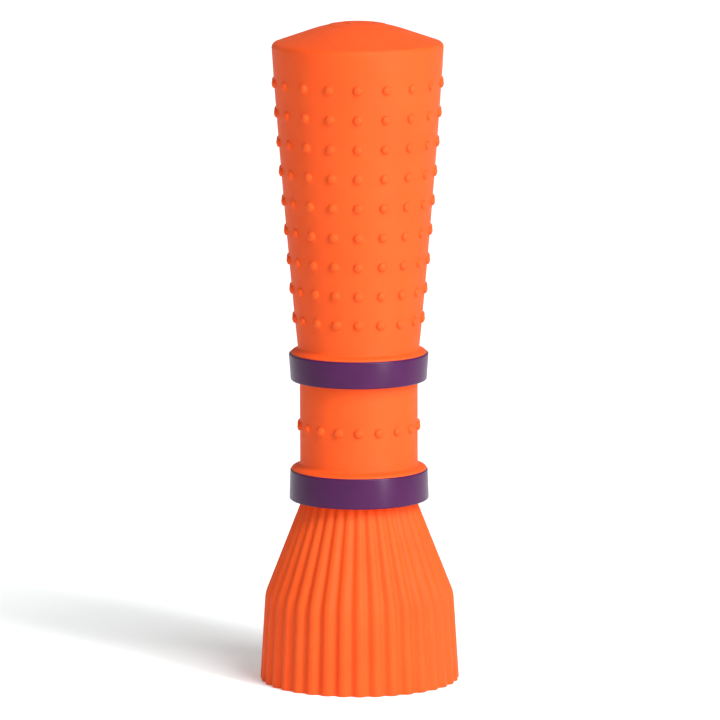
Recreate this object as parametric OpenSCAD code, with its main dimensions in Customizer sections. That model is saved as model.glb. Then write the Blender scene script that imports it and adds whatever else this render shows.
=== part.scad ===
// Dust blower bulb: a nubbed silicone squeeze bulb on a short collar, clamped by two hard bands to a
// rigid core that carries the outlet valve and the nozzle. A fluted silicone skirt covers the nozzle
// and is the stand: the blower lifts out of it. A check valve in the crown lets clean air back in.
// Frame: millimetres, +Z up, origin on the bench at the centre of the skirt's rim.

/* [Skirt] */
// Diameter over the flute crests at the rim, where the skirt meets the bench
rim_d = 54.2; // [50:0.1:70]
// Diameter over the flute crests at the knee
knee_d = 51.3; // [48:0.1:66]
// Height of the knee above the bench
knee_h = 23.8; // [18:0.1:34]
// Height of the cone from the knee up to the blower's underside
cone_h = 25.8; // [20:0.1:36]
// Thickness of the skirt around the core's spigot, over the flute crests
throat_wall = 3.4; // [2.4:0.1:5]
// Number of flutes around the skirt
flute_count = 36; // [24:1:44]
// Depth of a flute at the rim, from crest to valley
flute_depth = 1.0; // [0.4:0.05:1.6]
// Thickness of the skirt's wall under the flutes
skirt_wall = 2.0; // [1.4:0.1:3.2]

/* [Collar] */
// Outside diameter of the collar
collar_d = 32; // [27:0.5:40]
// Plain length of the collar between its two flanges
collar_len = 23.1; // [14:0.1:36]
// Thickness of the collar's wall
collar_wall = 3; // [2:0.1:3.6]
// Height of the collar's row of nubs above its lower lip
collar_row_h = 10.6; // [6:0.1:13]

/* [Bands] */
// Height of the upper band
upper_band_h = 7.4; // [6:0.1:11]
// Height of the lower band
lower_band_h = 8.3; // [6:0.1:12]
// Thickness of a band at its thick edge
band_t = 1.45; // [1:0.05:2]
// How much thinner the upper band is at its lower edge
upper_band_draft = 0.45; // [0:0.05:0.6]
// How much thinner the lower band is at its upper edge
lower_band_draft = 0.25; // [0:0.05:0.6]
// Depth of the flanges beyond the collar's wall, which is the floor of the bands' seats
flange_out = 1.5; // [1:0.1:2.5]
// How far the rounded lip above a band stands out from that floor
lip_out = 0.9; // [0.5:0.05:1.2]
// Height of the rounded lip above a band
lip_h = 1.35; // [0.8:0.05:2]

/* [Squeeze bulb] */
// How far the foot of the grip stands outside the collar's wall
grip_step = 0.5; // [0:0.1:1.5]
// Diameter of the grip at the shoulder
grip_top_d = 46.6; // [40:0.1:58]
// How far the grip's sides bulge at mid-height, beyond a straight cone
grip_bow = 0.3; // [0:0.05:0.8]
// Height of the grip from the flange's lip to the shoulder
grip_h = 82.7; // [68:0.1:104]
// Height of the crown above the shoulder
crown_h = 5.95; // [5:0.05:9]
// Rounding of the shoulder
shoulder_r = 1.5; // [0.8:0.1:3]
// Thickness of the bulb's wall
bulb_wall = 2.6; // [1.8:0.1:3.4]

/* [Nubs] */
// Radius of the ball that each nub is part of
nub_r = 1.4; // [0.9:0.05:1.8]
// How far a nub stands out of the wall
nub_out = 0.92; // [0.5:0.02:1.3]
// Number of nubs in a row
nubs_per_row = 18; // [12:1:20]
// Distance from one row to the next
row_pitch = 8; // [6:0.1:8.4]
// Height of the lowest row above the flange's lip
first_row_h = 8.3; // [5:0.1:12]
// Least plain height between the top row and the shoulder
last_row_gap = 6; // [4:0.5:16]

/* [Core and nozzle] */
// Thickness of the rigid core's wall
core_wall = 2.5; // [1.6:0.1:3]
// Length of the core inside the bulb's neck, above the seam
core_top_h = 10; // [6:0.5:16]
// Length of the spigot that plugs into the skirt
spigot_h = 8; // [5:0.5:12]
// Thickness of the core's floor, which holds the nozzle
floor_t = 4; // [3:0.5:6]
// Radius of the nozzle's cartridge, the part above its flange
cartridge_r = 6; // [5.5:0.1:7.2]
// Radius of the outlet valve's ball
ball_r = 3; // [2.4:0.1:3.6]
// How far the ball moves off its seat
ball_travel = 1.5; // [0.8:0.1:2]
// Length of the nozzle's cone below its flange
nozzle_cone_h = 26; // [20:0.5:30]
// Outside radius of the steel tube below the nozzle's cone
tube_r = 1.5; // [1.2:0.05:1.8]
// Inside radius of the steel tube
tube_bore_r = 0.8; // [0.5:0.05:1]
// Length of steel tube that shows below the cone
tube_out = 14; // [8:0.5:18]

/* [Inlet valve] */
// Radius of the cap that shows on the crown
cap_r = 8; // [7.5:0.1:9.5]
// How far the cap stands proud of the crown
cap_proud = 0.15; // [0.1:0.05:0.6]
// Radius of the valve's housing, and of the hole through the crown
housing_r = 6.5; // [6:0.1:7.4]
// Thickness of the valve's disc
disc_t = 1; // [0.8:0.1:1.6]
// How far the disc moves off its seat
disc_travel = 1.2; // [0.6:0.1:1.6]

/* [Fits] */
// Radial clearance of the spigot in the skirt's throat
spigot_gap = 0.1; // [0.05:0.05:0.3]
// Gap between a valve's moving piece and its seat, and between the blower and the skirt it rests on
seat_gap = 0.05; // [0.02:0.01:0.1]
// Radial clearance round a valve's moving piece
valve_gap = 0.9; // [0.6:0.05:1]

/* [Hidden] */

$fn = 96;
past = 1;               // how far a cutter runs past the face that it opens
edge_r = 0.45;          // rounding of a band's edge
bevel = 0.5;            // bevel of a hard piece's edge
core_bevel = 0.6;       // bevel at the two ends of the core
band_gap = 0.2;         // room between a band and the piece above or below it
nub_root = 0.93;        // a nub's straight root as a share of its ball
nub_root_r = nub_root * nub_r;
orange = "#f96a28";
purple = "#5a2a62";

// Radii of the neck, from the collar inwards
collar_r = collar_d / 2;
core_r = collar_r - collar_wall;
core_bore_r = core_r - core_wall;
seat_r = collar_r + flange_out;
lip_r = seat_r + lip_out;
spigot_step = 1;
spigot_r = core_r - spigot_step;
spigot_bore_r = core_bore_r - bevel;
throat_r = spigot_r + spigot_gap;

// Heights, stacked from the bench upwards
skirt_top_z = knee_h + cone_h;
dock_z = skirt_top_z + seat_gap;
lower_band_z = dock_z + band_gap;
lower_lip_z = lower_band_z + lower_band_h;
collar_z = lower_lip_z + lip_h;
upper_band_z = collar_z + collar_len;
upper_lip_z = upper_band_z + upper_band_h;
grip_z = upper_lip_z + lip_h;
shoulder_z = grip_z + grip_h;
apex_z = shoulder_z + crown_h - cap_proud;
core_flange_t = 1;
core_flange_inset = 0.3;   // how far the core's flange ends short of the band
seam_z = upper_band_z + upper_band_h / 2;
collar_top_z = seam_z - core_flange_t / 2;
bulb_bottom_z = seam_z + core_flange_t / 2;
barb_h = 2;
barb_out = 0.8;
barb_rise = 3;
barb_z = collar_z + barb_rise;

// The crown: a cone that turns into a dome, tangent where they meet
grip_low_r = collar_r + grip_step;
grip_top_r = grip_top_d / 2;
dome_share = 0.56;
dome_join_r = grip_top_r * dome_share;
crown_slope = atan(2 * (apex_z - shoulder_z) / (2 * grip_top_r - dome_join_r));
dome_r = dome_join_r / sin(crown_slope);
function crown_z(r) = r < dome_join_r
    ? apex_z - dome_r + sqrt(dome_r * dome_r - r * r)
    : apex_z - dome_r * (1 - cos(crown_slope)) - (r - dome_join_r) * tan(crown_slope);
function grip_r(z) = let (up = (z - grip_z) / grip_h)
    grip_low_r + (grip_top_r - grip_low_r) * up + grip_bow * 4 * up * (1 - up);
grip_tilt = atan((grip_top_r - grip_low_r) / grip_h);
nub_rows = 1 + floor((grip_h - first_row_h - last_row_gap) / row_pitch);   // as many as the grip has room for

// The bulb's inside: a step above the core, and a bevel under the crown's shoulder
neck_step = 0.4;
neck_slope_h = 1.5;
roof_bevel = 2;
roof_bevel_h = 2.5;

// The inlet valve, from the cap's recess in the crown downwards
cap_recess = 0.55;
cap_floor_z = crown_z(cap_r) - cap_recess;
crown_inside_z = cap_floor_z - bulb_wall;
filter_t = 1.5;
pocket_wall = 1.3;
filter_r = housing_r - pocket_wall;
seat_web_t = 1.2;
inlet_seat_z = cap_floor_z - filter_t - seat_web_t;
inlet_seat_bore = 2.4;
disc_z = inlet_seat_z - seat_gap - disc_t;
housing_wall = 1.6;
chamber_r = housing_r - housing_wall;
disc_r = chamber_r - valve_gap;
cage_t = 1.5;
cage_boss_h = 2.2;
cage_z = disc_z - disc_travel - seat_gap - cage_boss_h - cage_t;   // its boss stops the open disc
inlet_wire_r = 0.18;
inlet_coil_inset = 1.5;
inlet_coil_r = disc_r - inlet_coil_inset;

// The outlet valve and the nozzle, from the core's floor downwards
floor_rise = 5.4;
floor_z = dock_z + floor_rise;
seal_wire_r = 0.8;
nozzle_flange_z = floor_z - 2 * seal_wire_r;
nozzle_flange_t = 3;
nozzle_flange_gap = 0.4;
nozzle_flange_r = spigot_bore_r - nozzle_flange_gap;
cone_top_z = nozzle_flange_z - nozzle_flange_t;
tip_z = cone_top_z - nozzle_cone_h;
cartridge_rise = 4;
cartridge_top_z = floor_z + floor_t + cartridge_rise;
ball_chamber_r = ball_r + valve_gap;
outlet_seat_t = 2.5;
seat_shelf = 0.7;
outlet_seat_r = ball_chamber_r + seat_shelf;
seat_bore_share = 0.63;
outlet_seat_bore = ball_r * seat_bore_share;
outlet_seat_z = cartridge_top_z - outlet_seat_t;
ball_z = outlet_seat_z - seat_gap - sqrt(ball_r * ball_r - outlet_seat_bore * outlet_seat_bore);
spring_room = 4.5;      // left for the spring under the open ball
spring_floor_z = ball_z - ball_r - ball_travel - spring_room;
outlet_wire_r = 0.2;
coil_share = 0.72;
outlet_coil_r = ball_r * coil_share;
tube_z = tip_z - tube_out;
tube_in = 10;
tube_step = 0.25;       // shoulder of the tube, which stops it at the cone's tip
tube_root_r = tube_r - tube_step;

// Points along an arc from angle a0 to a1, round [x, y], for an outline that is turned about Z
function arc(x, y, rx, ry, a0, a1, n = 6) =
    [for (i = [0:n]) let (a = a0 + (a1 - a0) * i / n) [x + rx * cos(a), y + ry * sin(a)]];

// A band's rounded lip: a quarter round from the lip's edge in to the wall of radius wall_r
function lip(wall_r, z) = arc(wall_r, z, lip_r - wall_r, lip_h, 0, 90);

module turned(points) rotate_extrude() polygon(points);

module tube(r, bore, z, h) translate([0, 0, z]) difference() {
    cylinder(r = r, h = h);
    translate([0, 0, -past]) cylinder(r = bore, h = h + 2 * past);
}

module disc(r, z, h) translate([0, 0, z]) cylinder(r = r, h = h);

// Round holes through a plate, evenly spaced on a circle
module ring_of_holes(count, pitch_r, r, z, h)
    for (i = [0:count - 1]) rotate(i * 360 / count) translate([pitch_r, 0, z]) cylinder(r = r, h = h);

// A nub square to the wall: a ball's dome on a short straight root, so that it is the root which
// meets the wall
module nub() intersection() {
    translate([0, 0, nub_out - nub_r]) sphere(r = nub_r);
    translate([0, 0, -2 * nub_r]) cylinder(r = nub_root_r, h = 4 * nub_r);
}

// One row of nubs round a wall of radius wall_r that leans out by tilt degrees
module nub_row(wall_r, z, tilt)
    for (i = [0:nubs_per_row - 1]) rotate(i * 360 / nubs_per_row - 90)
        translate([wall_r, 0, z]) rotate([0, 90 + tilt, 0]) nub();

// A wound spring of round wire, standing on z0, swept ring by ring along its helix
module wound_spring(coil_r, wire_r, z0, z1, turns, rings_per_turn = 14, sides = 6) {
    rings = turns * rings_per_turn;
    rise = z1 - z0 - 2 * wire_r;
    points = [for (i = [0:rings]) for (j = [0:sides - 1])
        let (a = i * 360 / rings_per_turn, b = j * 360 / sides, r = coil_r + wire_r * cos(b))
        [r * cos(a), r * sin(a), z0 + wire_r + rise * i / rings + wire_r * sin(b)]];
    walls = [for (i = [0:rings - 1]) for (j = [0:sides - 1])
        let (k = (j + 1) % sides)
        [i * sides + j, (i + 1) * sides + j, (i + 1) * sides + k, i * sides + k]];
    ends = [[for (j = [0:sides - 1]) j], [for (j = [sides - 1:-1:0]) rings * sides + j]];
    polyhedron(points = points, faces = concat(walls, ends), convexity = 10);
}

// Wedges, one to a rib, that cut a ring into the skirt's ribs: a rib is as wide as a flute
module rib_wedges(inner_r, outer_r, h) {
    half = 360 / flute_count / 4;
    for (i = [0:flute_count - 1]) rotate(i * 360 / flute_count - 90) linear_extrude(height = h)
        polygon([for (side = [-1, 1]) for (r = side < 0 ? [inner_r, outer_r] : [outer_r, inner_r])
            r * [cos(half), side * sin(half)]]);
}

// Silicone skirt: nozzle cover and stand in one, open at the bottom, with a rib between flutes
module fluted_skirt() color(orange) {
    rim_r = rim_d / 2;
    knee_r = knee_d / 2;
    top_r = throat_r + throat_wall;
    rim_wall_r = rim_r - flute_depth;
    knee_wall_r = knee_r - flute_depth;
    top_wall_r = top_r - flute_depth * top_r / rim_r;   // the flutes get shallower up the cone
    bite = skirt_wall / 2;                             // how far the ribs reach into the wall
    throat_chamfer = 1.2;
    chamfer_z = dock_z - spigot_h - band_gap;
    turned([[rim_wall_r, 0], [knee_wall_r, knee_h], [top_wall_r, skirt_top_z], [throat_r, skirt_top_z],
        [throat_r, chamfer_z], [throat_r + throat_chamfer, chamfer_z - throat_chamfer],
        [knee_wall_r - skirt_wall, knee_h], [rim_wall_r - skirt_wall, 0]]);
    intersection() {
        turned([[rim_r, 0], [knee_r, knee_h], [top_r, skirt_top_z], [top_wall_r - bite, skirt_top_z],
            [knee_wall_r - bite, knee_h], [rim_wall_r - bite, 0]]);
        rib_wedges(throat_r, rim_d, skirt_top_z);
    }
}

// The bulb's air chamber, open to the core's neck below and to the inlet valve's hole above
module bulb_cavity() {
    neck_step_z = bulb_bottom_z + core_top_h;
    slope_z = neck_step_z + neck_slope_h;
    inner_r = grip_top_r - bulb_wall;
    roof_z = crown_z(grip_top_r) - bulb_wall;
    turned([[0, bulb_bottom_z - past], [core_r, bulb_bottom_z - past], [core_r, neck_step_z],
        [max(core_r + neck_step, grip_r(slope_z) - bulb_wall), slope_z],
        [inner_r, roof_z - roof_bevel_h], [inner_r - roof_bevel, roof_z],
        [cap_r + roof_bevel, crown_inside_z], [housing_r, crown_inside_z], [housing_r, cap_floor_z],
        [cap_r, cap_floor_z], [cap_r, apex_z + past], [0, apex_z + past]]);
}

// One belt of the grip: a slice of its cone with a row of nubs round the middle
module nub_belt(z) {
    middle_z = z + row_pitch / 2;
    translate([0, 0, z]) cylinder(r1 = grip_r(z), r2 = grip_r(z + row_pitch), h = row_pitch);
    nub_row(grip_r(middle_z), middle_z, grip_tilt);
}

// Silicone bulb: neck flange, nubbed grip and crown, hollow. The grip is a stack of belts, a row each.
module squeeze_bulb() color(orange) {
    belts_z = grip_z + first_row_h - row_pitch / 2;
    belts_top_z = belts_z + nub_rows * row_pitch;
    // centre of the shoulder's rounding, tangent to the grip and to the crown's cone
    round_inset = 0.1;
    round_r = grip_top_r - shoulder_r / cos(grip_tilt) - round_inset;
    round_z = crown_z(round_r) - shoulder_r / cos(crown_slope);
    difference() {
        union() {
            turned(concat(
                [[0, bulb_bottom_z], [seat_r, bulb_bottom_z], [seat_r, upper_lip_z], [lip_r, upper_lip_z]],
                lip(grip_low_r, upper_lip_z), [[grip_r(belts_z), belts_z], [0, belts_z]]));
            for (row = [0:nub_rows - 1]) nub_belt(belts_z + row * row_pitch);
            turned(concat([[0, belts_top_z], [grip_r(belts_top_z), belts_top_z]],
                arc(round_r, round_z, shoulder_r, shoulder_r, -grip_tilt, 90 - crown_slope, 8),
                arc(0, apex_z - dome_r, dome_r, dome_r, 90 - crown_slope, 90, 8)));
        }
        bulb_cavity();
    }
}

// Silicone collar between the two flanges, with one row of nubs
module collar_sleeve() color(orange) {
    turned(concat(
        [[core_r, dock_z], [seat_r, dock_z], [seat_r, lower_lip_z], [lip_r, lower_lip_z]],
        lip(collar_r, lower_lip_z),
        [[collar_r, upper_band_z + band_gap], [seat_r, upper_band_z + band_gap], [seat_r, collar_top_z],
            [core_r, collar_top_z], [core_r, barb_z + barb_h], [core_r + barb_out, barb_z + barb_h],
            [core_r + barb_out, barb_z], [core_r, barb_z]]));
    nub_row(collar_r, collar_z + collar_row_h, 0);
}

// A hard clamp band that is low_t thick at its lower edge and high_t at its upper edge
module band(z, h, low_t, high_t) color(purple) turned(concat(
    [[seat_r, z]],
    arc(seat_r + low_t - edge_r, z + edge_r, edge_r, edge_r, -90, 0, 4),
    arc(seat_r + high_t - edge_r, z + h - edge_r, edge_r, edge_r, 0, 90, 4),
    [[seat_r, z + h]]));

module upper_band() band(upper_band_z, upper_band_h, band_t - upper_band_draft, band_t);

module lower_band() band(lower_band_z, lower_band_h, band_t, band_t - lower_band_draft);

// Rigid tube that the silicone is clamped to: its flange lies in the upper seam, its barb holds the
// collar, its floor holds the nozzle and its spigot plugs into the skirt
module neck_core() color("#d9d6cf") {
    top_z = bulb_bottom_z + core_top_h;
    spigot_z = dock_z - spigot_h;
    flange_r = seat_r - core_flange_inset;
    turned([[spigot_r, spigot_z + core_bevel], [spigot_r, dock_z], [core_r, dock_z], [core_r, barb_z],
        [core_r + barb_out, barb_z], [core_r + barb_out, barb_z + barb_h], [core_r, barb_z + barb_h],
        [core_r, collar_top_z], [flange_r, collar_top_z], [flange_r, bulb_bottom_z],
        [core_r, bulb_bottom_z], [core_r, top_z - core_bevel], [core_r - core_bevel, top_z],
        [core_bore_r, top_z], [core_bore_r, floor_z + floor_t], [cartridge_r, floor_z + floor_t],
        [cartridge_r, floor_z], [spigot_bore_r, floor_z], [spigot_bore_r, spigot_z],
        [spigot_r - core_bevel, spigot_z]]);
}

// Moulded nozzle: cartridge with the ball's chamber, flange, and a cone down to the steel tube
module nozzle_body() color("#2b2b2e") {
    channel_gap = 0.1;
    channel_r = tube_root_r + channel_gap;
    tube_top_z = tip_z + tube_in;
    tip_wall = 1.5;
    tip_r = tube_r + tip_wall;
    cone_step = 2;
    cone_r = nozzle_flange_r - cone_step;
    turned([[tube_root_r, tip_z], [tip_r - bevel, tip_z], [tip_r, tip_z + bevel],
        [cone_r, cone_top_z], [nozzle_flange_r - bevel, cone_top_z],
        [nozzle_flange_r, cone_top_z + bevel], [nozzle_flange_r, nozzle_flange_z - bevel],
        [nozzle_flange_r - bevel, nozzle_flange_z], [cartridge_r, nozzle_flange_z],
        [cartridge_r, cartridge_top_z], [outlet_seat_r, cartridge_top_z],
        [outlet_seat_r, outlet_seat_z], [ball_chamber_r, outlet_seat_z],
        [ball_chamber_r, spring_floor_z], [channel_r, spring_floor_z], [channel_r, tube_top_z],
        [tube_root_r, tube_top_z]]);
}

// Stainless tube with a turned-down root, pressed into the nozzle's tip up to its shoulder
module nozzle_tube() color("silver") {
    end_bevel = 0.3;
    turned([[tube_bore_r, tube_z], [tube_r - end_bevel, tube_z], [tube_r, tube_z + bevel],
        [tube_r, tip_z], [tube_root_r, tip_z], [tube_root_r, tip_z + tube_in],
        [tube_bore_r, tip_z + tube_in]]);
}

// O-ring between the nozzle's flange and the core's floor
module nozzle_seal() color("#1b1b1b") translate([0, 0, floor_z - seal_wire_r])
    rotate_extrude() translate([cartridge_r + seal_wire_r, 0]) circle(r = seal_wire_r, $fn = 32);

// Ring with a chamfered bore that the ball closes
module outlet_seat() color("#d9d6cf") turned([
    [outlet_seat_bore, outlet_seat_z], [outlet_seat_r, outlet_seat_z],
    [outlet_seat_r, outlet_seat_z + outlet_seat_t], [outlet_seat_bore, outlet_seat_z + outlet_seat_t]]);

module outlet_ball() color("#8a2f22") translate([0, 0, ball_z]) sphere(r = ball_r);

module outlet_spring() color("silver") {
    touch_z = ball_z - sqrt(ball_r * ball_r - pow(outlet_coil_r - outlet_wire_r, 2));
    wound_spring(outlet_coil_r, outlet_wire_r, spring_floor_z, touch_z - seat_gap - outlet_wire_r, 5);
}

// Raised cap on the crown: two low rings with the air holes between them
module inlet_cap() color(orange) {
    top_z = apex_z + cap_proud;
    edge = 0.25;
    rim_z = crown_z(cap_r) + cap_proud;
    groove_r = cap_r * 0.5;
    groove_half_w = 0.9;
    groove_depth = 0.35;
    groove_z = top_z - dome_r + sqrt(dome_r * dome_r - groove_r * groove_r) - groove_depth;
    hole_count = 8;
    hole_r = 0.6;
    difference() {
        turned(concat([[0, cap_floor_z], [cap_r, cap_floor_z], [cap_r, rim_z - edge], [cap_r - edge, rim_z]],
            arc(0, top_z - dome_r, dome_r, dome_r, acos((cap_r - edge) / dome_r), 90, 8)));
        tube(groove_r + groove_half_w, groove_r - groove_half_w, groove_z, past);
        ring_of_holes(hole_count, groove_r, hole_r, cap_floor_z - past, top_z - cap_floor_z + 2 * past);
    }
}

module inlet_filter() color("#b9b4a8") disc(filter_r, cap_floor_z - filter_t, filter_t);

// Housing in the crown's hole, held by a flange under the crown
module inlet_housing() color("#d9d6cf") {
    hook_out = 1.8;
    hook_r = housing_r + hook_out;
    hook_t = 1.2;
    hook_z = crown_inside_z - hook_t;
    pocket_z = cap_floor_z - filter_t;
    turned([[chamber_r, cage_z], [housing_r - bevel, cage_z], [housing_r, cage_z + bevel],
        [housing_r, hook_z], [hook_r, hook_z], [hook_r, crown_inside_z], [housing_r, crown_inside_z],
        [housing_r, cap_floor_z], [filter_r, cap_floor_z], [filter_r, pocket_z],
        [inlet_seat_bore, pocket_z], [inlet_seat_bore, inlet_seat_z], [chamber_r, inlet_seat_z]]);
}

module inlet_disc() color("#8a2f22") disc(disc_r, disc_z, disc_t);

module inlet_spring() color("silver")
    wound_spring(inlet_coil_r, inlet_wire_r, cage_z + cage_t, disc_z - seat_gap, 4);

// Perforated plug that holds the inlet spring and stops the disc
module inlet_cage() color("#d9d6cf") {
    boss_gap = 0.3;
    vent_count = 6;
    vent_r = 0.75;
    vent_edge = 0.5;
    difference() {
        union() {
            disc(chamber_r, cage_z, cage_t);
            disc(inlet_coil_r - inlet_wire_r - boss_gap, cage_z, cage_t + cage_boss_h);
        }
        ring_of_holes(vent_count, chamber_r - vent_edge - vent_r, vent_r, cage_z - past, cage_t + 2 * past);
    }
}

fluted_skirt();
squeeze_bulb();
upper_band();
collar_sleeve();
lower_band();
neck_core();
nozzle_body();
nozzle_tube();
nozzle_seal();
outlet_seat();
outlet_ball();
outlet_spring();
inlet_cap();
inlet_filter();
inlet_housing();
inlet_disc();
inlet_spring();
inlet_cage();
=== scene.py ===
# %% [markdown]
# # A dust blower bulb
# A watchmaker squeezes this silicone bulb to blow dust off a movement. From the top it is a nubbed grip,
# a short collar held by two hard bands, and a fluted skirt that covers the nozzle and is the stand.
# The CAD frame holds every size and everything that moves. This lesson builds what the eye sees.

# %% Load the frame
import math

import bmesh
import bpy
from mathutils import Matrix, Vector


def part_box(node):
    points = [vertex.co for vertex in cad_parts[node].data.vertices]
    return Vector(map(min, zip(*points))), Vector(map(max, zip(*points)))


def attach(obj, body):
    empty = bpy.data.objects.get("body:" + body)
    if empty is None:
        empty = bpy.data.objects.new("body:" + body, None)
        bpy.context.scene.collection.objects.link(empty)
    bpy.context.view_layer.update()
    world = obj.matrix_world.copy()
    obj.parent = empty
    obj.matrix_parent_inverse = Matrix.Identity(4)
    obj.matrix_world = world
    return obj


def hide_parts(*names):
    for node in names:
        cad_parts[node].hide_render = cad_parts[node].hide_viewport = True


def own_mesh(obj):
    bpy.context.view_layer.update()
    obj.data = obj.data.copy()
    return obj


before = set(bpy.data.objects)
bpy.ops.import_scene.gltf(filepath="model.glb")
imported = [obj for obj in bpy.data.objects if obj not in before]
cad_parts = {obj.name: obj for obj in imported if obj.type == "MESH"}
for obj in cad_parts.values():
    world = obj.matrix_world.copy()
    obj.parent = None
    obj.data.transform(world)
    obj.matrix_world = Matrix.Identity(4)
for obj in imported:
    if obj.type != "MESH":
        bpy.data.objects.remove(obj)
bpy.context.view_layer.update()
MM = 0.001

# %% [markdown]
# ## Reading the frame
# Each CAD node's box says where a turned piece starts, where it ends and how wide it is, and the outlines
# below take their ends from those boxes. Sizes that no box gives are named: the seats under the bands, the
# grip's slope and height, and small shapes such as a lip or a nub.

# %% Heights and radii of the CAD nodes, in millimetres
def low(node):
    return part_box(node)[0].z / MM


def high(node):
    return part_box(node)[1].z / MM


def radius(node):
    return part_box(node)[1].x / MM


CORE_R = 13.0
COLLAR_R = 16.0
SEAT_R = 17.5
LIP_R = radius("collar_sleeve")
BAND_R = radius("upper_band")
LIP_H = 1.35
GRIP_LOW_R = 16.5
GRIP_TOP_R = 23.3
GRIP_BOW = 0.3
SHOULDER_R = 1.5
BULB_WALL = 2.6
CAP_R = radius("inlet_cap")
CAP_PROUD = 0.15
GRIP_Z = high("upper_band") + LIP_H
APEX_Z = high("inlet_cap") - CAP_PROUD
GRIP_H = 82.7
SHOULDER_Z = GRIP_Z + GRIP_H
GRIP_SLOPE = (GRIP_TOP_R - GRIP_LOW_R) / GRIP_H
GRIP_TILT = math.atan(GRIP_SLOPE)
print(f"grip from {GRIP_Z:.2f} to {SHOULDER_Z:.2f} mm, apex at {APEX_Z:.2f} mm, lip radius {LIP_R:.2f} mm")

# %% [markdown]
# ## Camera
# A long lens, far away and a little above, shows the crown and the skirt at nearly the same scale, as
# catalogue pictures do. A short lens close by would make the crown look larger than the skirt. The camera
# comes first, so that every later choice can be judged through it.

# %% A long lens, a little above the object
CAMERA_DISTANCE = 1.7014
CAMERA_SIDE = 0.0012
CAMERA_HEIGHT = 0.3527
CAMERA_PITCH = math.radians(8.85)
CAMERA_ROLL = math.radians(0.18)
LENS = 317.4

camera_data = bpy.data.cameras.new("camera")
camera_data.lens = LENS
camera_data.sensor_width = 36
camera_data.clip_end = 20
camera = bpy.data.objects.new("camera", camera_data)
bpy.context.scene.collection.objects.link(camera)
camera.location = (CAMERA_SIDE, -CAMERA_DISTANCE, CAMERA_HEIGHT)
camera.rotation_euler = (math.pi / 2 - CAMERA_PITCH, CAMERA_ROLL, 0)
bpy.context.scene.camera = camera
print(f"camera {CAMERA_DISTANCE} m away, {math.degrees(CAMERA_PITCH):.2f} degrees down")

# %% [markdown]
# ## Turned pieces
# Nearly every piece here is round, so it could be spun from an outline with a Screw modifier. Writing the
# rings directly lets one piece join smooth turned stretches to nubbed or fluted ones with shared points.

# %% Rings of points, and a mesh from them
AROUND = 144
WELD = 0.001 * MM


def arc(r, z, size_r, size_z, start, end, steps=6):
    """Points on a round stretch of an outline, centred on (r, z), with angles in degrees."""
    angles = [math.radians(start + (end - start) * i / steps) for i in range(steps + 1)]
    return [(r + size_r * math.cos(a), z + size_z * math.sin(a)) for a in angles]


def place(r, angle, z):
    return Vector((r * math.cos(angle), r * math.sin(angle), z)) * MM


def turn(mesh, outline, around=AROUND, radius_at=None):
    """Adds the surface that the outline sweeps. radius_at(r, angle, z) may change a point's radius."""
    rings = []
    for r, z in outline:
        if r < 1e-6:
            rings.append([mesh.verts.new(place(0, 0, z))])
            continue
        angles = [2 * math.pi * i / around for i in range(around)]
        rings.append([mesh.verts.new(place(radius_at(r, a, z) if radius_at else r, a, z)) for a in angles])
    for ring, following in zip(rings, rings[1:]):
        for i in range(around):
            k = (i + 1) % around
            corners = [ring[i % len(ring)], ring[k % len(ring)]]
            corners += [following[k % len(following)], following[i % len(following)]]
            unique = list(dict.fromkeys(corners))
            if len(unique) > 2:
                mesh.faces.new(unique)


def finish_piece(name, mesh, body, replaced, sharp=38, weld=True):
    """Makes the mesh a piece that rides on a CAD body. Edges bent by more than sharp degrees stay hard."""
    if weld:
        bmesh.ops.remove_doubles(mesh, verts=mesh.verts, dist=WELD)
    bmesh.ops.recalc_face_normals(mesh, faces=mesh.faces)
    for face in mesh.faces:
        face.smooth = True
    for edge in mesh.edges:
        if len(edge.link_faces) == 2 and edge.calc_face_angle(0) > math.radians(sharp):
            edge.smooth = False
    data = bpy.data.meshes.new(name)
    open_edges = sum(len(edge.link_faces) != 2 for edge in mesh.edges)
    mesh.to_mesh(data)
    mesh.free()
    piece = bpy.data.objects.new(name, data)
    bpy.context.scene.collection.objects.link(piece)
    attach(piece, body)
    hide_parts(replaced)
    print(f"{name}: {len(data.polygons)} faces, {open_edges} open edges")
    return piece

# %% [markdown]
# ## Nubs
# The nubs are moulded in one with the wall, so each has a small fillet at its root and a domed top. Balls
# joined to the wall would meet it in a hard line. Here each nub has a four-sided patch of wall of its own,
# and rings of points turn the patch's edge into a circle. Neighbouring patches share their edges.

# %% A patch of wall with one nub
NUBS_PER_ROW = 18
SIDE = AROUND // NUBS_PER_ROW
NUB_OUT = 0.92
NUB_R = 1.17
NUB_FILLET = 0.32
PATCH_BLENDS = (0, 0.35, 0.7)


def square_edge(count):
    """Points round a square of half-width 1, count to a side."""
    run = [-1 + 2 * i / count for i in range(count)]
    return [(t, -1) for t in run] + [(1, t) for t in run] + [(-t, 1) for t in run] + [(-1, -t) for t in run]


def nub_profile():
    """(distance from the nub's axis, height over the wall), from the fillet's foot to just off the tip."""
    foot = arc(NUB_R + NUB_FILLET, NUB_FILLET, NUB_FILLET, NUB_FILLET, 270, 180, 4)
    dome = arc(0, NUB_FILLET, NUB_R, NUB_OUT - NUB_FILLET, 0, 90, 8)
    return foot + dome[1:]


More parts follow.
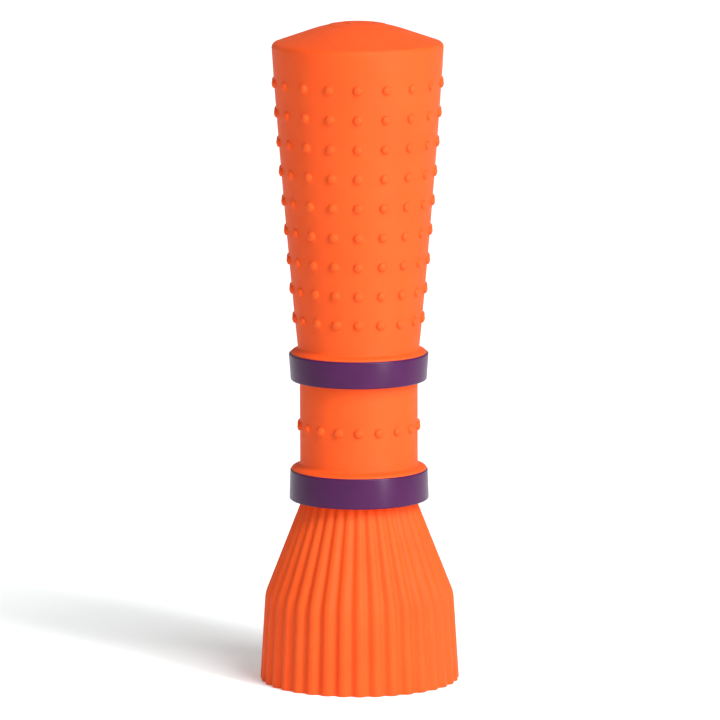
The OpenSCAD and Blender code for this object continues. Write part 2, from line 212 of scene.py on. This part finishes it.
def nub_patch(mesh, angle, z, half_height, wall_r, tilt):
    """One nub on its patch. wall_r(z) is the wall's radius and tilt its lean, in radians."""
    half_width = math.pi / NUBS_PER_ROW * wall_r(z)

    def point(across, up, height):
        level = z + up
        r = wall_r(level) + height * math.cos(tilt)
        return mesh.verts.new(place(r, angle + across / wall_r(z), level - height * math.sin(tilt)))

    profile = nub_profile()
    foot_r = profile[0][0]
    rings = []
    for blend in PATCH_BLENDS:
        ring = []
        for across, up in square_edge(SIDE):
            length = math.hypot(across, up)
            square = (across * half_width, up * half_height)
            circle = (foot_r * across / length, foot_r * up / length)
            ring.append(point(*[s + (c - s) * blend for s, c in zip(square, circle)], 0))
        rings.append(ring)
    for away, height in profile[:-1]:
        rings.append([point(away * x / math.hypot(x, y), away * y / math.hypot(x, y), height)
            for x, y in square_edge(SIDE)])
    for ring, following in zip(rings, rings[1:]):
        for i in range(len(ring)):
            k = (i + 1) % len(ring)
            mesh.faces.new([ring[i], ring[k], following[k], following[i]])
    tip = point(0, 0, NUB_OUT)
    last_ring = rings[-1]
    for i in range(len(last_ring)):
        mesh.faces.new([last_ring[i], last_ring[(i + 1) % len(last_ring)], tip])


def nub_row(mesh, z, half_height, wall_r, tilt):
    for i in range(NUBS_PER_ROW):
        nub_patch(mesh, 2 * math.pi * i / NUBS_PER_ROW - math.pi / 2, z, half_height, wall_r, tilt)


print(f"{NUBS_PER_ROW} nubs to a row, each {2 * NUB_R:.2f} mm wide and {NUB_OUT:.2f} mm high")

# %% [markdown]
# ## Shape of the grip and the crown
# The grip is a cone with a slight barrel, and the crown is a dome that runs out into a straight slope. Two
# formulas hold these shapes, so that the wall, the nubs and the inlet cap all follow the same ones. A list
# of measured points would do for the wall alone, but nothing else could follow it.

# %% The grip's radius and the crown's height
DOME_SHARE = 0.56
DOME_JOIN_R = GRIP_TOP_R * DOME_SHARE
CROWN_SLOPE = math.atan(2 * (APEX_Z - SHOULDER_Z) / (2 * GRIP_TOP_R - DOME_JOIN_R))
DOME_R = DOME_JOIN_R / math.sin(CROWN_SLOPE)


def grip_r(z):
    """The grip's radius: a cone with a slight barrel, which is what makes it sit well in the hand."""
    up = (z - GRIP_Z) / GRIP_H
    return GRIP_LOW_R + (GRIP_TOP_R - GRIP_LOW_R) * up + GRIP_BOW * 4 * up * (1 - up)


def crown_z(r):
    """The crown's height: a round dome in the middle and a straight slope out to the shoulder."""
    if r < DOME_JOIN_R:
        return APEX_Z - DOME_R + math.sqrt(DOME_R ** 2 - r ** 2)
    return APEX_Z - DOME_R * (1 - math.cos(CROWN_SLOPE)) - (r - DOME_JOIN_R) * math.tan(CROWN_SLOPE)


print(f"crown slopes {math.degrees(CROWN_SLOPE):.1f} degrees, dome radius {DOME_R:.1f} mm")

# %% [markdown]
# ## Lips
# Above each band the silicone swells into a lip that rests on the band. A quarter circle would meet the
# wall in a crease. A cubic curve, as in Blender's curve objects, leaves the edge and runs into the wall.

# %% The curve of a lip
LIP_ROUND = 0.15
LIP_RUN = 0.5
LIP_STEPS = 12


def soft_curve(start, leave, arrive, end, steps):
    """Points on a cubic curve from start to end that is pulled towards leave and then towards arrive."""
    start, leave, arrive, end = [Vector(point) for point in (start, leave, arrive, end)]
    curve = []
    for i in range(steps + 1):
        t = i / steps
        point = start * (1 - t) ** 3 + leave * 3 * t * (1 - t) ** 2
        point += arrive * 3 * t * t * (1 - t) + end * t ** 3
        curve.append(tuple(point))
    return curve


def lip(wall_r, z):
    """The lip above a band: one curve from its edge up to the wall, which it joins without a crease."""
    over_edge = (LIP_R - LIP_ROUND, z + LIP_H * 0.75)
    on_wall = (wall_r, z + LIP_H * 0.55)
    return soft_curve((LIP_R, z), over_edge, on_wall, (wall_r, z + LIP_H + LIP_RUN), LIP_STEPS)


print(f"a lip is {LIP_H + LIP_RUN:.2f} mm high")

# %% [markdown]
# ## Squeeze bulb
# The bulb is one silicone moulding: a flange that the upper band clamps, a lip, the tapered grip with its
# nine rows of nubs, a rounded shoulder and a shallow crown. It is hollow, so its outline goes in through
# the crown's hole and back down the air chamber, and the mesh is a closed skin of real thickness.

# %% The bulb's outline and its rows
NUB_ROWS = 9
ROW_PITCH = 8.0
FIRST_ROW_H = 8.3
HOUSING_R = 6.5
ROOF_BEVEL = 2
ROOF_BEVEL_H = 2.5
NECK_SLOPE_H = 1.5
ROUND_INSET = 0.1
SHOULDER_STEPS = 12
CROWN_STEPS = 12


def make_bulb():
    mesh = bmesh.new()
    bottom_z = low("squeeze_bulb")
    lip_z = high("upper_band")
    belts_z = GRIP_Z + FIRST_ROW_H - ROW_PITCH / 2
    belts_top_z = belts_z + NUB_ROWS * ROW_PITCH
    recess_z = low("inlet_cap")
    roof_z = recess_z - BULB_WALL
    step_z = high("neck_core")
    inner_r = GRIP_TOP_R - BULB_WALL
    inner_top_z = crown_z(GRIP_TOP_R) - BULB_WALL
    round_r = GRIP_TOP_R - SHOULDER_R / math.cos(GRIP_TILT) - ROUND_INSET
    round_z = crown_z(round_r) - SHOULDER_R / math.cos(CROWN_SLOPE)
    below = [(CORE_R, bottom_z), (SEAT_R, bottom_z), (SEAT_R, lip_z), (LIP_R, lip_z)]
    below += lip(GRIP_LOW_R, lip_z)[1:] + [(grip_r(belts_z), belts_z)]
    above = [(grip_r(belts_top_z), belts_top_z)]
    above += arc(round_r, round_z, SHOULDER_R, SHOULDER_R,
        -math.degrees(GRIP_TILT), 90 - math.degrees(CROWN_SLOPE), SHOULDER_STEPS)
    first_r = above[-1][0]
    crown_radii = [first_r + (CAP_R - first_r) * i / CROWN_STEPS for i in range(1, CROWN_STEPS + 1)]
    above += [(r, crown_z(r)) for r in crown_radii]
    slope_z = step_z + NECK_SLOPE_H
    inside = [(CAP_R, recess_z), (HOUSING_R, recess_z), (HOUSING_R, roof_z), (CAP_R + ROOF_BEVEL, roof_z),
        (inner_r - ROOF_BEVEL, inner_top_z), (inner_r, inner_top_z - ROOF_BEVEL_H),
        (grip_r(slope_z) - BULB_WALL, slope_z), (CORE_R, step_z), (CORE_R, bottom_z)]
    turn(mesh, below)
    for row in range(NUB_ROWS):
        nub_row(mesh, belts_z + (row + 0.5) * ROW_PITCH, ROW_PITCH / 2, grip_r, GRIP_TILT)
    turn(mesh, above + inside)
    return finish_piece("bulb_skin", mesh, "blower", "squeeze_bulb")


bulb = make_bulb()

# %% [markdown]
# ## Inlet cap
# The valve's cap closes the crown's hole and carries on its dome. A shallow groove holds eight small air
# holes, so that a palm laid on the crown can't seal them. The groove is part of the turned outline. The
# holes could be modelled ring by ring too, but a Boolean modifier cuts them in one step.

# %% The top of the cap
HOLE_COUNT = 8
HOLE_R = 0.6
HOLE_RING_R = CAP_R / 2
GROOVE_HALF_W = 0.9
GROOVE_DEPTH = 0.14
CAP_STEPS = 40
CAP_EDGE_W = 0.4
CAP_EDGE_DROP = 0.12
DRILL_DEPTH = 8
DRILL_SIDES = 24


def cap_z(r):
    """The cap's top: the crown's dome, raised a little, with a groove whose sides curve gently."""
    across = min(abs(r - HOLE_RING_R) / GROOVE_HALF_W, 1)
    groove = GROOVE_DEPTH * (1 + math.cos(math.pi * across)) / 2
    edge_drop = CAP_EDGE_DROP * max(0, (r - CAP_R + CAP_EDGE_W) / CAP_EDGE_W) ** 2
    return crown_z(r) + CAP_PROUD - groove - edge_drop


print(f"cap radius {CAP_R:.2f} mm, {HOLE_COUNT} holes on a circle of radius {HOLE_RING_R:.2f} mm")

# %% The turned cap and its drilled holes
def make_drill():
    """Eight upright rods on a circle. They are only a cutter, and are removed after the cut."""
    rods = bmesh.new()
    for i in range(HOLE_COUNT):
        middle = place(HOLE_RING_R, 2 * math.pi * i / HOLE_COUNT, APEX_Z)
        rod = bmesh.ops.create_cone(rods, cap_ends=True, segments=DRILL_SIDES, radius1=HOLE_R * MM,
            radius2=HOLE_R * MM, depth=DRILL_DEPTH * MM)
        bmesh.ops.translate(rods, verts=rod["verts"], vec=middle)
    data = bpy.data.meshes.new("drill")
    rods.to_mesh(data)
    rods.free()
    cutter = bpy.data.objects.new("drill", data)
    bpy.context.scene.collection.objects.link(cutter)
    return cutter


def make_cap():
    floor_z = low("inlet_cap")
    mesh = bmesh.new()
    radii = [CAP_R * (1 - i / CAP_STEPS) for i in range(CAP_STEPS + 1)]
    top = [(r, cap_z(r)) for r in radii]
    turn(mesh, [(0, floor_z), (CAP_R, floor_z)] + top)
    cap = finish_piece("vented_cap", mesh, "blower", "inlet_cap")
    cutter = make_drill()
    cut = cap.modifiers.new("air holes", "BOOLEAN")
    cut.object = cutter
    cut.solver = "EXACT"
    evaluated = cap.evaluated_get(bpy.context.evaluated_depsgraph_get())
    cap.data = bpy.data.meshes.new_from_object(evaluated)
    cap.modifiers.clear()
    bpy.data.objects.remove(cutter)
    print(f"cap: {len(cap.data.polygons)} faces after drilling {HOLE_COUNT} holes")
    return cap


cap = make_cap()

# %% [markdown]
# ## Collar
# The collar is a second silicone moulding between the bands, with one row of the same nubs and the same
# lip. Its flanges are hidden under the bands, and a groove inside grips the core's barb.

# %% The collar's outline and its row
COLLAR_ROW_H = 10.6
BAND_GAP = 0.2
BARB_RISE = 3
BARB_H = 2
BARB_OUT = 0.8


def make_collar():
    mesh = bmesh.new()
    dock_z = low("collar_sleeve")
    lip_z = high("lower_band")
    row_z = lip_z + LIP_H + COLLAR_ROW_H
    half = ROW_PITCH / 2
    top_z = high("collar_sleeve")
    under_z = low("upper_band") + BAND_GAP
    barb_z = lip_z + LIP_H + BARB_RISE
    barb_top_z = barb_z + BARB_H
    barb_r = CORE_R + BARB_OUT
    below = [(CORE_R, dock_z), (SEAT_R, dock_z), (SEAT_R, lip_z), (LIP_R, lip_z)]
    below += lip(COLLAR_R, lip_z)[1:] + [(COLLAR_R, row_z - half)]
    above = [(COLLAR_R, row_z + half), (COLLAR_R, under_z), (SEAT_R, under_z), (SEAT_R, top_z),
        (CORE_R, top_z), (CORE_R, barb_top_z), (barb_r, barb_top_z), (barb_r, barb_z),
        (CORE_R, barb_z), (CORE_R, dock_z)]
    turn(mesh, below)
    nub_row(mesh, row_z, half, lambda z: COLLAR_R, 0)
    turn(mesh, above)
    return finish_piece("collar_skin", mesh, "blower", "collar_sleeve")


collar = make_collar()

# %% [markdown]
# ## Fluted skirt
# Thirty-six soft ribs run from the collar down to the rim, so that the thin skirt stands stiffly. They
# could be boolean cuts, but a formula for the radius at each angle gives rounded crests, narrower valleys
# and a clean grid. The ribs end at the rim in one flat face, and the knee has a soft bend.

# %% Flutes and soft bends
FLUTES = 36
FLUTE_DEPTH = 1.0
FLUTE_CREST = 1.4
RIM_R = radius("fluted_skirt")


def soft_bend(before, corner, after, reach, steps=6):
    """Points that round off a corner, starting and ending reach millimetres away from it."""
    corner = Vector(corner)
    start = corner + (Vector(before) - corner).normalized() * reach
    end = corner + (Vector(after) - corner).normalized() * reach
    curve = []
    for i in range(steps + 1):
        t = i / steps
        curve.append(tuple(start * (1 - t) ** 2 + corner * 2 * t * (1 - t) + end * t ** 2))
    return curve


def fluted(r, angle, z):
    """A rib's crest keeps the radius r, and the valleys beside it are lower. They are deepest at the rim."""
    depth = FLUTE_DEPTH * r / RIM_R
    valley = (1 - math.cos(FLUTES * (angle + math.pi / 2))) / 2
    return r - depth * valley ** FLUTE_CREST


print(f"{FLUTES} flutes, {FLUTE_DEPTH} mm deep at the rim radius of {RIM_R:.2f} mm")

# %% The skirt's outline, outside and inside
FLUTE_STEPS = 14
SKIRT_WALL = 2.0
RIM_ROUND = 0.3
KNEE_R = 25.65
KNEE_Z = 23.8
KNEE_REACH = 1.6
TOP_REACH = 0.25
THROAT_R = 15.5
THROAT_BORE_R = 12.1
THROAT_CHAMFER = 1.2
THROAT_RUN = 0.2


def make_skirt():
    mesh = bmesh.new()
    top_z = high("fluted_skirt")
    spigot_z = low("neck_core")
    inset = FLUTE_DEPTH + SKIRT_WALL
    rim = arc(RIM_R - RIM_ROUND, RIM_ROUND, RIM_ROUND, RIM_ROUND, -90, 0, 4)
    wall = soft_bend(rim[-1], (KNEE_R, KNEE_Z), (THROAT_R, top_z), KNEE_REACH)
    edge_bend = soft_bend(wall[-1], (THROAT_R, top_z), (THROAT_BORE_R, top_z), TOP_REACH, 3)
    outside = rim + wall + edge_bend
    around = FLUTES * FLUTE_STEPS
    turn(mesh, outside, around, fluted)
    fluted_verts = mesh.verts[:]
    top_ring = fluted_verts[-around:]
    bottom_ring = fluted_verts[:around]
    chamfer_z = spigot_z - THROAT_RUN
    inside = [(THROAT_BORE_R, top_z), (THROAT_BORE_R, chamfer_z),
        (THROAT_BORE_R + THROAT_CHAMFER, chamfer_z - THROAT_CHAMFER),
        (KNEE_R - inset, KNEE_Z), (RIM_R - inset, 0)]
    turn(mesh, inside, around)
    mesh.verts.ensure_lookup_table()
    first = len(fluted_verts)
    last = len(mesh.verts) - around
    for i in range(around):
        k = (i + 1) % around
        mesh.faces.new([top_ring[i], top_ring[k], mesh.verts[first + k], mesh.verts[first + i]])
        mesh.faces.new([bottom_ring[i], bottom_ring[k], mesh.verts[last + k], mesh.verts[last + i]])
    return finish_piece("skirt_skin", mesh, "stand", "fluted_skirt", sharp=50)


skirt = make_skirt()

# %% [markdown]
# ## Bands
# The two bands are hard moulded rings. Their outer face drafts slightly, one towards its lower edge and
# one towards its upper edge, and both edges are rounded so that they catch a thin line of light.

# %% A band from its CAD box
BAND_EDGE = 0.45
BAND_AROUND = 192
UPPER_DRAFT = 0.45
LOWER_DRAFT = 0.25


def make_band(name, node, low_r, high_r):
    mesh = bmesh.new()
    bottom_z = low(node)
    top_z = high(node)
    outline = [(SEAT_R, bottom_z)]
    outline += arc(low_r - BAND_EDGE, bottom_z + BAND_EDGE, BAND_EDGE, BAND_EDGE, -90, 0, 8)
    outline += arc(high_r - BAND_EDGE, top_z - BAND_EDGE, BAND_EDGE, BAND_EDGE, 0, 90, 8)
    outline += [(SEAT_R, top_z), (SEAT_R, bottom_z)]
    turn(mesh, outline, BAND_AROUND)
    return finish_piece(name, mesh, "blower", node)


upper_band = make_band("upper_clamp_band", "upper_band", BAND_R - UPPER_DRAFT, BAND_R)
lower_band = make_band("lower_clamp_band", "lower_band", BAND_R, BAND_R - LOWER_DRAFT)

# %% [markdown]
# ## Valve springs
# Each check valve has a small wound spring. Its end coils lie closed, as on a real compression spring, so
# the wire rises by its own thickness there and by more in between. A curve with a round bevel could make
# it too. Rings of points keep it a plain mesh like the others.

# %% Two compression springs
WIRE_SIDES = 12
TURN_STEPS = 32


def make_spring(name, node, wire_r, turns):
    coil_r = radius(node) - wire_r
    fixed_z = low(node)
    top_z = high(node)
    closed_rise = 2 * wire_r
    open_rise = (top_z - fixed_z - 2 * closed_rise - 2 * wire_r) / (turns - 2)

    def height(turned):
        closed = min(turned, 1) + max(turned - (turns - 1), 0)
        opened = min(max(turned - 1, 0), turns - 2)
        return fixed_z + wire_r + closed * closed_rise + opened * open_rise

    mesh = bmesh.new()
    rings = []
    round_wire = [2 * math.pi * j / WIRE_SIDES for j in range(WIRE_SIDES)]
    for i in range(turns * TURN_STEPS + 1):
        angle = 2 * math.pi * i / TURN_STEPS
        middle_z = height(i / TURN_STEPS)
        section = [(coil_r + wire_r * math.cos(b), middle_z + wire_r * math.sin(b)) for b in round_wire]
        rings.append([mesh.verts.new(place(r, angle, z)) for r, z in section])
    for ring, following in zip(rings, rings[1:]):
        for j in range(WIRE_SIDES):
            k = (j + 1) % WIRE_SIDES
            mesh.faces.new([ring[j], ring[k], following[k], following[j]])
    mesh.faces.new(rings[0])
    mesh.faces.new(rings[-1])
    spring = finish_piece(name, mesh, "blower", node, weld=False)
    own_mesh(spring)
    return spring


outlet_coil = make_spring("outlet_coil_spring", "outlet_spring", wire_r=0.2, turns=5)
inlet_coil = make_spring("inlet_coil_spring", "inlet_spring", wire_r=0.18, turns=4)

# %% [markdown]
# ## Materials
# Each material is a shader with patterns in the object's own space, so nothing slides when the camera
# moves. One function adds a node, another turns a hex colour into the linear values a shader works with.

# %% Colours and nodes
def linear(hex_colour):
    channels = [int(hex_colour[i:i + 2], 16) / 255 for i in (1, 3, 5)]
    return tuple(c / 12.92 if c <= 0.04045 else ((c + 0.055) / 1.055) ** 2.4 for c in channels) + (1,)


def add_node(tree, kind, settings=None, links=None):
    """Adds a node. settings are its properties or input values, links are its inputs' sources."""
    node = tree.nodes.new(kind)
    for name, value in (settings or {}).items():
        if name in node.inputs:
            node.inputs[name].default_value = value
        else:
            setattr(node, name, value)
    for name, source in (links or {}).items():
        tree.links.new(source, node.inputs[name])
    return node


def new_material(name):
    material = bpy.data.materials.new(name)
    material.use_nodes = True
    tree = material.node_tree
    shader = tree.nodes["Principled BSDF"]
    place_at = add_node(tree, "ShaderNodeTexCoord").outputs["Object"]
    return material, tree, shader, place_at


def per_mm(size):
    """A texture's scale, in cycles for each metre, for features of that many millimetres."""
    return 1 / (size * MM)


def grain(tree, place_at, size, detail=2):
    """A cloudy pattern of values whose patches are about size millimetres wide."""
    settings = {"Scale": per_mm(size), "Detail": detail}
    return add_node(tree, "ShaderNodeTexNoise", settings, {"Vector": place_at}).outputs["Fac"]


PATTERN_LOW = 0.3
PATTERN_HIGH = 0.7


def spread(tree, source, lowest, highest):
    """Turns a pattern's middle range into values from lowest to highest."""
    settings = {"From Min": PATTERN_LOW, "From Max": PATTERN_HIGH, "To Min": lowest, "To Max": highest}
    return add_node(tree, "ShaderNodeMapRange", settings, {"Value": source}).outputs["Result"]


def two_tone(tree, source, dark, light):
    """Turns a pattern into colours from dark to light, both given as hex."""
    ramp = add_node(tree, "ShaderNodeValToRGB", {}, {"Fac": source})
    dark_end, light_end = ramp.color_ramp.elements
    dark_end.position = PATTERN_LOW
    dark_end.color = linear(dark)
    light_end.position = PATTERN_HIGH
    light_end.color = linear(light)
    return ramp.outputs["Color"]


def bump(tree, shader, height, depth_mm, strength=1.0):
    settings = {"Strength": strength, "Distance": depth_mm * MM}
    node = add_node(tree, "ShaderNodeBump", settings, {"Height": height})
    tree.links.new(node.outputs["Normal"], shader.inputs["Normal"])

# %% [markdown]
# ## Silicone
# Liquid silicone rubber, moulded in a spark-eroded tool. The tool leaves a fine even grain, which makes
# the surface matte and keeps highlights broad. A little light passes under the surface, and that keeps
# the shaded side a warm orange instead of brown. The real grain is about 0.05 mm and too fine to show,
# so it is drawn at 0.3 mm.

# %% Matte moulded silicone
def moulded_silicone():
    material, tree, shader, place_at = new_material("moulded_silicone")
    tone = two_tone(tree, grain(tree, place_at, size=14, detail=3), "#DE4E1A", "#E0521D")
    rough = spread(tree, grain(tree, place_at, size=2.5), lowest=0.52, highest=0.62)
    tree.links.new(tone, shader.inputs["Base Color"])
    tree.links.new(rough, shader.inputs["Roughness"])
    shader.inputs["IOR"].default_value = 1.41
    shader.inputs["Specular IOR Level"].default_value = 0.18
    shader.inputs["Subsurface Weight"].default_value = 0.12
    shader.inputs["Subsurface Radius"].default_value = (1.0, 0.35, 0.15)
    shader.inputs["Subsurface Scale"].default_value = 1.2 * MM
    bump(tree, shader, grain(tree, place_at, size=0.3), depth_mm=0.02, strength=0.5)
    return material


SILICONE = moulded_silicone()
print("material:", SILICONE.name)

# %% [markdown]
# ## Moulded plastics
# The bands are moulded ABS from a tool with a satin finish. It is smoother than the silicone, so it shows
# the studio's tall light box as a soft upright streak and the pale floor as a veil along its sides. The
# core's nylon and the nozzle's acetal are moulded too, and all three bend light about alike, so one
# function makes them. Their real grain is too fine to show, so it is drawn at 0.25 mm.

# %% Satin moulded plastics
def satin_plastic(name, dark, light, low_rough, high_rough, gloss=0.5):
    material, tree, shader, place_at = new_material(name)
    tone = two_tone(tree, grain(tree, place_at, size=6, detail=3), dark, light)
    rough = spread(tree, grain(tree, place_at, size=1.2), low_rough, high_rough)
    tree.links.new(tone, shader.inputs["Base Color"])
    tree.links.new(rough, shader.inputs["Roughness"])
    shader.inputs["IOR"].default_value = 1.53
    shader.inputs["Specular IOR Level"].default_value = gloss
    bump(tree, shader, grain(tree, place_at, size=0.25), depth_mm=0.004, strength=0.5)
    return material


BAND_ABS = satin_plastic("satin_abs_band", "#3E113E", "#441344", low_rough=0.29, high_rough=0.36, gloss=0.18)
CORE_NYLON = satin_plastic("moulded_nylon_core", "#D6D2C8", "#DEDBD2", low_rough=0.42, high_rough=0.52)
NOZZLE_ACETAL = satin_plastic("moulded_acetal_nozzle", "#242427", "#2B2B2F", low_rough=0.32, high_rough=0.42)
print("materials:", [material.name for material in (BAND_ABS, CORE_NYLON, NOZZLE_ACETAL)])

# %% [markdown]
# ## Steel, rubber and felt
# The tip is drawn stainless tube, with fine lines along its length, and the springs are of the same steel.
# The o-ring and the valves are moulded rubber, and the filter is pressed felt. Real drawing lines, rubber
# grain and felt fibres are a few hundredths of a millimetre wide. They are drawn at 0.12, 0.2 and 0.35 mm.

# %% Drawn steel, valve rubber and felt
LINE_STRETCH = 0.04


def drawn_steel():
    material, tree, shader, place_at = new_material("drawn_stainless_steel")
    settings = {"Scale": (1, 1, LINE_STRETCH)}
    stretched = add_node(tree, "ShaderNodeMapping", settings, {"Vector": place_at}).outputs["Vector"]
    lines = grain(tree, stretched, size=0.12, detail=3)
    tree.links.new(two_tone(tree, lines, "#B4B3B0", "#C6C5C2"), shader.inputs["Base Color"])
    tree.links.new(spread(tree, lines, lowest=0.22, highest=0.38), shader.inputs["Roughness"])
    shader.inputs["Metallic"].default_value = 1.0
    bump(tree, shader, lines, depth_mm=0.004, strength=0.4)
    return material


def moulded_rubber(name, dark, light):
    material, tree, shader, place_at = new_material(name)
    tone = two_tone(tree, grain(tree, place_at, size=2), dark, light)
    rough = spread(tree, grain(tree, place_at, size=0.6), lowest=0.5, highest=0.62)
    tree.links.new(tone, shader.inputs["Base Color"])
    tree.links.new(rough, shader.inputs["Roughness"])
    shader.inputs["IOR"].default_value = 1.52
    bump(tree, shader, grain(tree, place_at, size=0.2), depth_mm=0.01, strength=0.5)
    return material


def pressed_felt():
    material, tree, shader, place_at = new_material("pressed_felt")
    fibres = grain(tree, place_at, size=0.35, detail=5)
    tree.links.new(two_tone(tree, fibres, "#A49E90", "#C6C1B4"), shader.inputs["Base Color"])
    tree.links.new(spread(tree, fibres, lowest=0.82, highest=0.95), shader.inputs["Roughness"])
    shader.inputs["Sheen Weight"].default_value = 0.3
    bump(tree, shader, fibres, depth_mm=0.06, strength=0.7)
    return material


STEEL = drawn_steel()
SEAL_RUBBER = moulded_rubber("moulded_nitrile_seal", "#161616", "#1E1E1E")
VALVE_RUBBER = moulded_rubber("moulded_valve_rubber", "#7F2A1E", "#8E3324")
FELT = pressed_felt()
print("materials:", [material.name for material in (STEEL, SEAL_RUBBER, VALVE_RUBBER, FELT)])

# %% [markdown]
# ## Giving each piece its finish
# Pieces made here take their material directly. CAD nodes that are already the right shape keep their
# mesh and only change their finish.

# %% Assign the materials
def dress(piece, material):
    piece.data.materials.clear()
    piece.data.materials.append(material)


for piece in (bulb, cap, collar, skirt):
    dress(piece, SILICONE)
for piece in (upper_band, lower_band):
    dress(piece, BAND_ABS)
for piece in (outlet_coil, inlet_coil):
    dress(piece, STEEL)
CAD_FINISH = {"neck_core": CORE_NYLON, "outlet_seat": CORE_NYLON,
    "inlet_housing": CORE_NYLON, "inlet_cage": CORE_NYLON, "nozzle_body": NOZZLE_ACETAL,
    "nozzle_tube": STEEL, "nozzle_seal": SEAL_RUBBER,
    "outlet_ball": VALVE_RUBBER, "inlet_disc": VALVE_RUBBER, "inlet_filter": FELT}
for node_name, material in CAD_FINISH.items():
    for material_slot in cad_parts[node_name].material_slots:
        material_slot.material = material
print("finished CAD nodes:", len(CAD_FINISH))

# %% [markdown]
# ## Floor
# White paper, far wider than the picture. It could curve up behind the blower as a studio sweep does, but
# the camera looks down on it and sees only floor. It glows a little, which lifts the blower's shadow.

# %% A white paper floor
FLOOR_HALF = 6.0


def make_floor():
    data = bpy.data.meshes.new("floor")
    corners = [(x * FLOOR_HALF, y * FLOOR_HALF, 0) for x, y in ((-1, -1), (1, -1), (1, 1), (-1, 1))]
    data.from_pydata(corners, [], [(0, 1, 2, 3)])
    floor = bpy.data.objects.new("floor", data)
    bpy.context.scene.collection.objects.link(floor)
    material, tree, shader, place_at = new_material("white_paper_floor")
    tone = two_tone(tree, grain(tree, place_at, size=40), "#F3F7F7", "#F5F9F9")
    tree.links.new(tone, shader.inputs["Base Color"])
    shader.inputs["Roughness"].default_value = 0.9
    shader.inputs["Emission Color"].default_value = (1, 1, 1, 1)
    shader.inputs["Emission Strength"].default_value = 0.15
    data.materials.append(material)
    print(f"floor: {2 * FLOOR_HALF:.0f} m across")


make_floor()

# %% [markdown]
# ## Lights
# A broad soft key from the front right and a softer fill from the front. Both are distant lights, because
# those light the crown and the skirt alike. The key stands about halfway up, so the shadow at the back
# left is about as long as the blower is tall. One tall light box at the right draws the streak on the
# bands, and the world adds a faint even white.

# %% The world and three lights
SUN_AWAY = 2.0
BOX_UP = 0.25
BLOWER_MIDDLE = (0, 0, 0.09)


def aim(light, spot):
    """Places a light and turns it towards the middle of the blower."""
    light.location = spot
    light.rotation_euler = (Vector(BLOWER_MIDDLE) - Vector(spot)).to_track_quat("-Z", "Y").to_euler()


def sun(name, strength, softness, side, height):
    """A distant light from side degrees right of the camera and height degrees up."""
    data = bpy.data.lights.new(name, "SUN")
    data.energy = strength
    data.angle = math.radians(softness)
    light = bpy.data.objects.new(name, data)
    bpy.context.scene.collection.objects.link(light)
    turned = math.radians(side)
    raised = math.radians(height)
    level = math.cos(raised)
    aim(light, Vector((math.sin(turned) * level, -math.cos(turned) * level, math.sin(raised))) * SUN_AWAY)


def light_box(name, power, side, distance, width, tall):
    """An upright glowing panel, side degrees right of the camera. Distances are metres and power watts."""
    data = bpy.data.lights.new(name, "AREA")
    data.shape = "RECTANGLE"
    data.size = width
    data.size_y = tall
    data.energy = power
    light = bpy.data.objects.new(name, data)
    bpy.context.scene.collection.objects.link(light)
    turned = math.radians(side)
    aim(light, (distance * math.sin(turned), -distance * math.cos(turned), BOX_UP))


world = bpy.data.worlds.new("studio")
bpy.context.scene.world = world
world.use_nodes = True
world.node_tree.nodes["Background"].inputs["Color"].default_value = (1, 1, 1, 1)
world.node_tree.nodes["Background"].inputs["Strength"].default_value = 0.38
sun("key", strength=2.7, softness=31, side=41, height=47)
sun("front_fill", strength=0.64, softness=70, side=-2, height=32)
light_box("right_box", power=9.5, side=42, distance=1.0, width=0.1, tall=0.9)
bpy.context.scene.view_settings.view_transform = "Standard"
